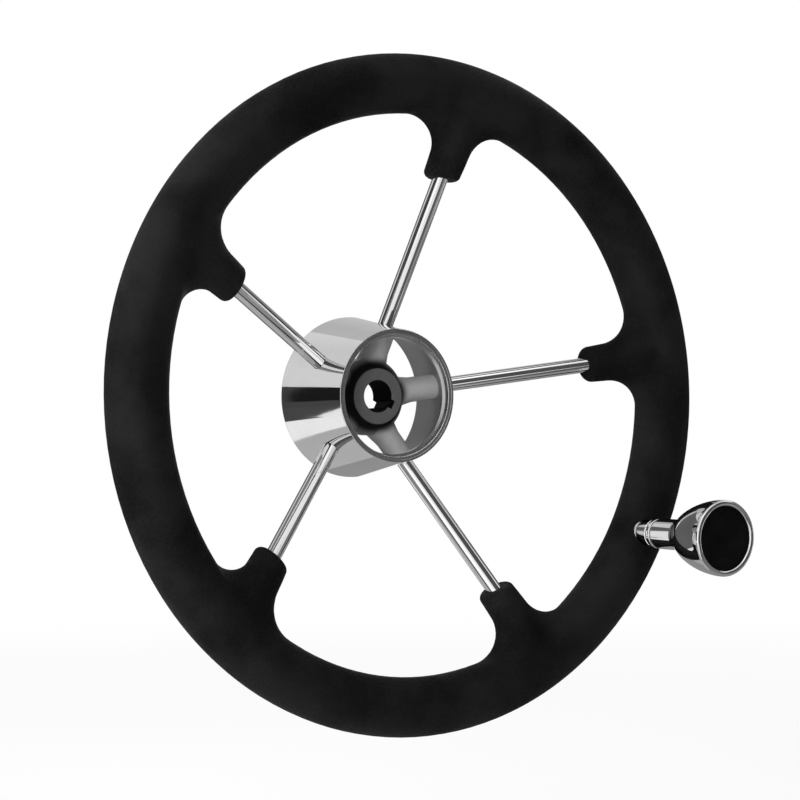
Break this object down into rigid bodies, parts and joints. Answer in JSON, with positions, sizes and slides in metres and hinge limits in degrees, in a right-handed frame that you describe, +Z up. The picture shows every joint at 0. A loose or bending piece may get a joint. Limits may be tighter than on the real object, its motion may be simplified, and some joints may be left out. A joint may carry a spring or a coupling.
{
  "type": "boat steering wheel",
  "caption": "Dished boat steering wheel: polished rod spokes, moulded foam grip, polished conical hub over a cast boss, and a chrome turning knob on the rim.",
  "frame": {"origin": "on the wheel axis, in the plane of the boss's back face, where the tapered bore is widest", "axes": "+Y along the wheel axis towards the helm that carries the shaft, so the helmsman is on the -Y side; +Z up; +X to the helmsman's right"},
  "size_m": [0.343, 0.1466, 0.343],
  "materials": {
    "grip_foam": "hard-skinned moulded polyurethane, fine leather grain, matte black",
    "core_steel": "drawn stainless rod, unpolished, hidden in the grip",
    "polished_shell": "mirror-polished stainless sheet",
    "front_ring": "turned stainless, fine machining lines",
    "cast_boss": "grey cast alloy, matte, machined on its front face and bore",
    "polished_spoke": "polished stainless rod",
    "knob_steel": "turned stainless",
    "bush_plastic": "plain natural acetal",
    "knob_chrome": "bright chrome",
    "knob_cap": "satin black plastic, slightly domed"
  },
  "bodies": {
    "wheel": {"grip": "grip_foam", "core_ring": "core_steel", "hub_shell": "polished_shell", "hub_front_ring": "front_ring", "hub_boss": "cast_boss", "spoke_1": "polished_spoke", "spoke_2": "polished_spoke", "spoke_3": "polished_spoke", "spoke_4": "polished_spoke", "spoke_5": "polished_spoke", "knob_base": "knob_steel", "knob_thrust_washer": "bush_plastic", "knob_stud": "knob_steel", "knob_washer": "knob_steel", "knob_lock_nut": "knob_steel"},
    "knob": {"knob_body": "knob_chrome", "knob_lower_bush": "bush_plastic", "knob_upper_bush": "bush_plastic", "knob_cap": "knob_cap"}
  },
  "joints": [
    {"name": "knob_spin", "type": "hinge", "parent": "wheel", "child": "knob", "pos_m": [0.13364, -0.1, -0.07408], "axis": [0, -1, 0], "continuous": true}
  ]
}
